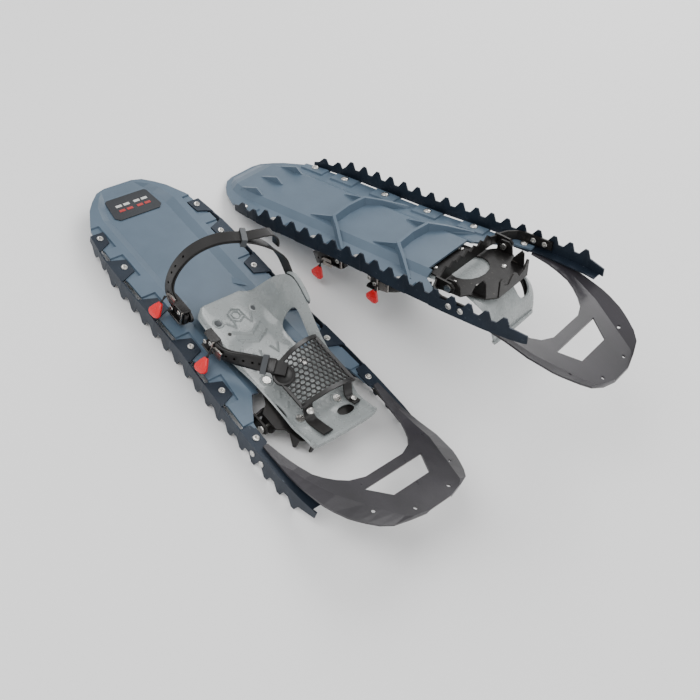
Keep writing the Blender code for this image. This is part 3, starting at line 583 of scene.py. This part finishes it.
# path runs from the fixed end to the buckle, and hints point across the strap. keeper is the keeper's
# share of the way, and free is the free end's height above the strap at distances past the keeper.
FORE = {
    "path": [(376, -16, 31), (362, -27, 29), (348, -38, 27), (335, -49, 26), (323, -60, 26.5),
             (311, -66.4, 27), (295, -66.8, 27.5)],
    "hints": [(-0.5, 0.75, 0.25), (-0.45, 0.65, 0.4), (-0.3, 0.4, 0.85), (-0.2, 0.25, 0.95), (0, 0.1, 1),
              (0, 0, 1), (0, 0, 1)],
    "width": 18.0, "centre": (345, 20, 0), "keeper": 0.28, "free": ((9, 0.6), (16, 1.4)),
}
HEEL = {
    "path": [(284, 66.5, 48), (268, 66, 60), (254, 60, 78), (242, 40, 97), (228, 12, 107), (212, -16, 101),
             (201, -40, 82), (198, -57, 56), (205, -66.4, 34), (222, -66.8, 21), (244, -66.6, 17)],
    "hints": [(0.6, 0, 0.8), (0.7, 0, 0.65), (0.9, 0.1, 0.35), (0.95, -0.1, 0.1), (0.95, -0.2, 0),
              (0.95, -0.25, 0), (0.95, -0.2, 0.05), (0.9, -0.1, 0.3), (0.6, 0, 0.75), (0.2, 0, 1),
              (0.05, 0, 1)],
    "width": 16.0, "centre": (290, 0, 35), "keeper": 0.42,
    "free": ((8, 0.5), (20, 7), (34, 15), (44, 11), (50, 3.5)),
}
SLACK_HEEL = {
    **HEEL,
    "path": [(284, 66.5, 48), (266, 66.2, 55), (244, 63, 59), (221, 50, 60), (198, 28, 57), (184, 2, 53),
             (178, -26, 49), (182, -51, 41), (197, -66.2, 30), (218, -66.8, 20), (244, -66.6, 17)],
    "hints": [(0.6, 0, 0.8), (0.5, 0, 0.85), (0.4, 0, 0.9), (0.45, 0, 0.9), (0.5, -0.1, 0.85),
              (0.55, -0.2, 0.8), (0.55, -0.1, 0.8), (0.5, 0, 0.85), (0.3, 0, 0.95), (0.1, 0, 1),
              (0.05, 0, 1)],
    "free": ((8, 0.5), (20, 2.5), (32, 3.5), (40, 2.5)),
}
def strap_layers(strap):
    """The frames of a strap's inner layer, with each normal turned away from the foot."""
    path = smooth_path(strap["path"], SPAN)
    hints = smooth_path(strap["hints"], SPAN)
    centre = Vector(strap["centre"])
    out = []
    for point, tangent, side, normal in frames(path, hints):
        outward = normal if normal.dot(point - centre) > 0 else -normal
        out.append((point, tangent, side, outward))
    return out


def strap_stations(strap):
    """The same route as the CAD strap: in to the buckle, round, and back out through the keeper."""
    layers = strap_layers(strap)
    keeper = round(strap["keeper"] * (len(layers) - 1))
    point, tangent, side, outward = layers[-1]
    stations = [(layer[0], layer[2]) for layer in layers]
    stations.append((point + tangent * (LAYER / 2) + outward * (LAYER / 2), side))
    stations += [(p + o * LAYER, s) for p, _, s, o in reversed(layers[keeper:])]
    start = layers[keeper]
    spring = [(0.0, 0.0), *strap["free"]]
    reach = spring[-1][0]
    for step in range(1, SPRING_STEPS + 1):
        distance = reach * step / SPRING_STEPS
        height = lerp(spring, distance)
        nearest = min(range(keeper + 1), key=lambda k: abs((layers[k][0] - start[0]).length - distance))
        p, _, s, o = layers[nearest]
        along = (layers[max(nearest - 1, 0)][0] - p).normalized()
        stations.append((p + along * (distance - (p - start[0]).length) + o * (LAYER + height), s))
    return stations


def hole_cutters(stations, first, last, count):
    """Cutters for a row of holes along part of a strap, as (points, faces)."""
    whole = frames(*zip(*stations))
    profile = [(0, -2.0), (HOLE_RADIUS, -2.0), (HOLE_RADIUS, 2.0), (0, 2.0)]
    cutters = []
    for k in range(count):
        point, _, _, normal = whole[round(first + (last - first) * k / (count - 1))]
        cutters.append(turned(profile, point, normal, 10))
    return merged(*cutters)


def cut(piece, side, cutters):
    """Takes the cutters out of the piece. The strap's layers meet, so the Boolean minds its own crossings."""
    tool = linked("cutter", outward_mesh("cutter", SHOE[side], *cutters))
    modifier = piece.modifiers.new("holes", "BOOLEAN")
    modifier.operation = "DIFFERENCE"
    modifier.use_self = True
    modifier.object = tool
    bpy.context.view_layer.update()
    graph = bpy.context.evaluated_depsgraph_get()
    done = bpy.data.meshes.new_from_object(piece.evaluated_get(graph))
    piece.modifiers.clear()
    piece.data = done
    bpy.data.objects.remove(tool)


def add_strap(side, name, strap, first, last, count):
    """A strap with a row of holes between two shares of its length."""
    stations = strap_stations(strap)
    total = len(stations) - 1
    band = ribbon(stations, strap["width"], STRAP_T)
    piece = mesh_piece(name + "_band", side, *band, "binding", "strap_plastic")
    cut(piece, side, hole_cutters(stations, first * total, last * total, count))
    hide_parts(f"{side}_{name}")


# ---- instep net ----
NET_REAR, NET_FRONT = 353.0, 424.0
NET_OUTER, NET_INNER = -26.0, 54.0
NET_T = 2.0
BORDER_T = 2.4
CELL = 7.4               # across a cell of the net
WEB = 1.7                # between two holes


def net_point(u, v):
    """The net's surface: u runs to the toe and v to the foot's inner side."""
    slant = (NET_FRONT - u) / (NET_FRONT - NET_REAR)
    shift = lerp([(-26, 12), (6, 4), (54, -5)], v) * slant
    across = 1.0 - ((v - 16.0) / 46.0) ** 2
    z = 18.0 + 15.0 * max(0.0, across) * lerp([(353, 1.0), (424, 0.6)], u)
    return u + shift, v, z


def hexagon(u, v, radius):
    return [
        (u + math.cos(math.radians(60 * k)) * radius, v + math.sin(math.radians(60 * k)) * radius)
        for k in range(6)
    ]


def cell_centres(radius):
    """Centres of the net's cells: every other row is half a cell along."""
    row = 0
    u = NET_REAR + radius
    while u < NET_FRONT - radius * 0.5:
        v = NET_OUTER + CELL / 2 + (row % 2) * CELL / 2
        while v < NET_INNER - CELL * 0.3:
            yield u, v
            v += CELL
        u += radius * 1.5
        row += 1


def add_net(side):
    """Honeycomb panel with real holes."""
    points, faces, index = [], [], {}

    def vertex(u, v):
        key = (round(u, 2), round(v, 2))
        if key not in index:
            index[key] = len(points)
            points.append(net_point(u, v))
        return index[key]

    radius = CELL / math.sqrt(3)
    for u, v in cell_centres(radius):
        outer = [vertex(*corner) for corner in hexagon(u, v, radius)]
        inner = [vertex(*corner) for corner in hexagon(u, v, radius * (1 - WEB / CELL))]
        for k in range(6):
            n = (k + 1) % 6
            faces.append((outer[k], outer[n], inner[n], inner[k]))
    net = mesh_piece("net_mesh", side, points, faces, "binding", "strap_plastic")
    solidify(net, NET_T)
    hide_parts(f"{side}_instep_net")


def edge_band(side, name, line, width):
    """A solid band along a line of points, lying flat on the net or the footbed."""
    path = smooth_path(line, 4)
    hints = [tangent_at(path, k).cross(Vector(UP)) for k in range(len(path))]
    band = ribbon(list(zip(path, hints)), width, BORDER_T)
    mesh_piece(name, side, *band, "binding", "strap_plastic")


def add_net_border(side):
    """The net's solid edges."""
    lift = Vector((0, 0, 0.3))
    for name, u in (("net_edge_rear", NET_REAR), ("net_edge_front", NET_FRONT)):
        line = [Vector(net_point(u, v)) + lift for v in (-27, -12, 6, 22, 38, 55)]
        edge_band(side, name, line, 6.0)
    for name, v in (("net_edge_outer", NET_OUTER - 1), ("net_edge_inner", NET_INNER + 1)):
        line = [Vector(net_point(u, v)) + lift for u in (351, 370, 388, 406, 426)]
        edge_band(side, name, line, 5.0)


def add_net_arms(side):
    """The tongue and the arm that hold the net to the toe, each with its rivet, and the strap's disc."""
    lift = Vector((0, 0, 0.3))
    toe = TOES[side]
    tongue = [Vector(net_point(422, -19)) + lift]
    tongue += [Vector((x - 6.0, -19, z + 1.4)) for x, z, _, _ in toe]
    arm = [Vector(net_point(422, 46)) + lift]
    arm += [Vector((x - 6.0, 44, z + rise * 0.3 + 1.8)) for x, z, _, rise in toe]
    edge_band(side, "net_tongue", tongue, 15.0)
    edge_band(side, "net_arm", arm[:-1] if side == "right" else arm, 12.0)
    middle = (tongue[0] + tongue[1]) / 2
    rivet(side, "tongue_rivet", "binding", middle + Vector((3, 0, 1.4)), (0.35, 0, 1), dome_head(5.2, 2.0))
    middle = (arm[1] + arm[2]) / 2
    rivet(side, "arm_rivet", "binding", middle + Vector((0, 0, 1.4)), (0, 0.3, 1), dome_head(4.6, 2.0))
    disc = [(0, -1.2), (13.5, -1.2), (14.2, 0.2), (13.2, 1.6), (11.0, 2.0), (10.2, 1.4), (0, 1.4)]
    spot = Vector(net_point(370, -20)) + Vector((0, 0, 1.2))
    disc_mesh = turned(disc, spot, (0.1, -0.42, 0.9), 32)
    mesh_piece("strap_disc", side, *disc_mesh, "binding", "strap_plastic")


# ---- buckles, tabs and cords ----
# x, z, length and height of each buckle's plate
BUCKLES = {"heel": (228.0, 17.0, 46.0, 22.0), "forefoot": (294.0, 26.0, 30.0, 22.0)}
BUCKLE_Y = (-64.2, -60.8)
CHEEK_Y = -61.5          # where the cheeks meet the plate
CORD_STEPS = 14


def buckle_cheeks(x, z, length, height):
    """The two flat sides of a buckle, above and below the strap."""
    rim = [
        (x - length * 0.30, -74.0), (x + length * 0.24, -74.5), (x + length * 0.34, -70),
        (x + length * 0.34, CHEEK_Y), (x - length * 0.38, CHEEK_Y), (x - length * 0.38, -69),
    ]
    cheeks = []
    for s in (-1, 1):
        low, high = sorted((z + s * (height / 2 - 1.2), z + s * (height / 2 + 0.8)))
        cheeks.append(prism(rim, "XY", low, high))
    return cheeks


def add_buckle(side, which):
    """Polished buckle: an oval plate behind the strap, side cheeks, a roller and two rivets."""
    x, z, length, height = BUCKLES[which]
    outline = [
        (x + length / 2 * math.cos(a), z + height / 2 * math.sin(a))
        for a in (2 * math.pi * k / 28 for k in range(28))
    ]
    body = merged(prism(outline, "XZ", *BUCKLE_Y), *buckle_cheeks(x, z, length, height))
    piece = mesh_piece(f"{which}_buckle_body", side, *body, "binding", "buckle_plastic")
    bevel(piece, 0.8, 3)
    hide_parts(f"{side}_{which}_buckle")
    profile = [(0, -height / 2), (1.5, -height / 2), (1.5, height / 2), (0, height / 2)]
    roller = turned(profile, (x + length * 0.28, -73.0, z))
    mesh_piece(f"{which}_buckle_roller", side, *roller, "binding", "lever_steel")
    for k, dx in enumerate((-0.2, 0.12), 1):
        spot = (x + dx * length, -72.0, z + 3.0 * (-1) ** k)
        rivet(side, f"{which}_buckle_rivet_{k}", "binding", spot, (0, -1, 0), ring_head(3.2, 1.3, 1.2))


def pull_frame(side, which):
    """From a pull tab's own millimetres, with Z down its cord, to the world."""
    low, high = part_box(f"{side}_{which}_pull_tab")
    joint = JOINTS[f"{side}_{which}_pull_swing"]
    eye = Vector(joint["pos_m"])
    swing = Vector(joint["axis"])
    hang = (low + high) / 2 - eye
    hang = (hang - swing * hang.dot(swing)).normalized()
    turn = Matrix((swing, swing.cross(hang), hang)).transposed().to_4x4()
    return Matrix.Translation(eye) @ turn @ Matrix.Scale(MM, 4)


def cord_strand(phase):
    path = []
    for k in range(CORD_STEPS + 1):
        depth = 0.5 + 12.5 * k / CORD_STEPS
        angle = phase + 1.6 * math.pi * k / CORD_STEPS
        path.append((Vector((math.cos(angle) * 0.8, math.sin(angle) * 0.8, depth)), Vector((1, 0, 0))))
    return ribbon(path, 1.3, 1.3, 0.1)


def tab_wedge():
    """A rounded wedge, widest near its lower end."""
    sections = [
        (11.0, 2.6, 1.8), (12.0, 3.2, 2.2), (17, 6.2, 2.7), (25, 10.0, 3.0), (28.5, 8.8, 2.8), (31, 4.8, 1.9),
    ]
    outline = ((-1, -0.55), (-0.8, -1), (0.8, -1), (1, -0.55), (1, 0.55), (0.8, 1), (-0.8, 1), (-1, 0.55))
    return loft([[(u * half, v * depth, z) for u, v in outline] for z, half, depth in sections])


def add_pull(side, which):
    """Two-strand cord and a wedge-shaped tab with a raised triangle on each face."""
    matrix = pull_frame(side, which)
    body = f"{side}_{which}_pull"
    strands = merged(cord_strand(0.0), cord_strand(math.pi))
    cord = placed_piece(f"{side}_{which}_cord", matrix, *strands, body, "cord_fibre")
    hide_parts(f"{side}_{which}_pull_cord")
    outline = [(-4.5, 26.0), (4.5, 26.0), (0.0, 18.5)]
    marks = [prism(outline, "XZ", *sorted((s * 2.4, s * 3.5))) for s in (-1, 1)]
    wedge = merged(tab_wedge(), *marks)
    tab = placed_piece(f"{side}_{which}_tab", matrix, *wedge, body, "tab_plastic")
    bevel(tab, 0.5, 2)
    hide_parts(f"{side}_{which}_pull_tab")


# ---- tail plate ----
PLATE_Z = (-5.4, -4.4)
BAR_Z = (-4.5, -4.1)


def add_label(side):
    """Plain plate let into the deck's tail, with two rows of bars in place of lettering."""
    outline = [(3, -26), (9, -33), (40, -37), (46, -31), (46, 31), (40, 37), (9, 33), (3, 26)]
    solid = prism(outline, "XY", *PLATE_Z)
    plate = mesh_piece("tail_plate", side, *solid, "shoe", "moulded_deck", "label_plate")
    bevel(plate, 0.4)
    for name, x, look in (("tail_stripe_red", 31, "label_red"), ("tail_stripe_white", 22, "label_white")):
        bars = [
            prism([(x - 2, y), (x + 2, y), (x + 2, y + 9), (x - 2, y + 9)], "XY", *BAR_Z)
            for y in (-24, -12, 4, 16)
        ]
        mesh_piece(name, side, *merged(*bars), "shoe", "moulded_deck", look)


def build_shoe(side):
    heel = HEEL if side == "right" else SLACK_HEEL
    add_deck_rivets(side)
    add_bracket_rivets(side)
    add_label(side)
    add_footbed(side)
    add_footbed_relief(side)
    add_wing_fold(side)
    add_toe_rim(side)
    add_strap(side, "forefoot_strap", FORE, 0.60, 0.84, 6)
    add_strap(side, "heel_strap", heel, 0.56, 0.74, 9)
    add_net(side)
    add_net_border(side)
    add_net_arms(side)
    for which in BUCKLES:
        add_buckle(side, which)
        add_pull(side, which)


# ---- studio ----
CAMERA_AT = Vector((838.0, -633.0, 943.0))
CAMERA_RIGHT = Vector((0.6368, 0.7282, 0.2536))
CAMERA_AHEAD = Vector((-0.3604, 0.5718, -0.7369))
LENS = 51.0
FLOOR_HALF = 6.0
# name, place, aim, size and power
LIGHTS = (
    ("key", (-0.6, -1.4, 2.2), (0, 0, 0), 1.6, 30),
    ("fill", (1.8, 0.4, 1.5), (0, 0, 0), 1.8, 14),
    ("back", (-0.8, 1.8, 1.6), (0, 0, 0.1), 1.4, 34),
)


def add_camera():
    data = bpy.data.cameras.new("camera")
    data.lens = LENS
    data.sensor_width = 36.0
    camera = linked("camera", data)
    ahead = CAMERA_AHEAD.normalized()
    right = (CAMERA_RIGHT - ahead * CAMERA_RIGHT.dot(ahead)).normalized()
    turn = Matrix((right, right.cross(ahead), -ahead)).transposed().to_4x4()
    camera.matrix_world = Matrix.Translation(SHOE["right"] @ CAMERA_AT) @ turn
    bpy.context.scene.camera = camera


def add_light(name, location, target, size, power):
    data = bpy.data.lights.new(name, "AREA")
    data.size = size
    data.energy = power
    lamp = linked(name, data)
    lamp.location = location
    lamp.rotation_euler = (Vector(target) - Vector(location)).to_track_quat("-Z", "Y").to_euler()


def add_floor():
    size = FLOOR_HALF
    mesh = bpy.data.meshes.new("studio_floor")
    corners = [(-size, -size, 0), (size, -size, 0), (size, size, 0), (-size, size, 0)]
    mesh.from_pydata(corners, [], [(0, 1, 2, 3)])
    floor = linked("studio_floor", mesh)
    paper = bpy.data.materials.new("paper")
    paper.use_nodes = True
    shader = paper.node_tree.nodes["Principled BSDF"]
    shader.inputs["Base Color"].default_value = (0.93, 0.93, 0.93, 1)
    shader.inputs["Roughness"].default_value = 0.9
    mesh.materials.append(paper)


def add_world():
    world = bpy.data.worlds.new("studio")
    world.use_nodes = True
    background = world.node_tree.nodes["Background"]
    background.inputs["Color"].default_value = (1.0, 1.0, 1.0, 1)
    background.inputs["Strength"].default_value = 0.85
    bpy.context.scene.world = world


add_camera()
dress_cad_nodes()
for shoe_side in SIDES:
    build_shoe(shoe_side)
add_floor()
for light in LIGHTS:
    add_light(*light)
add_world()
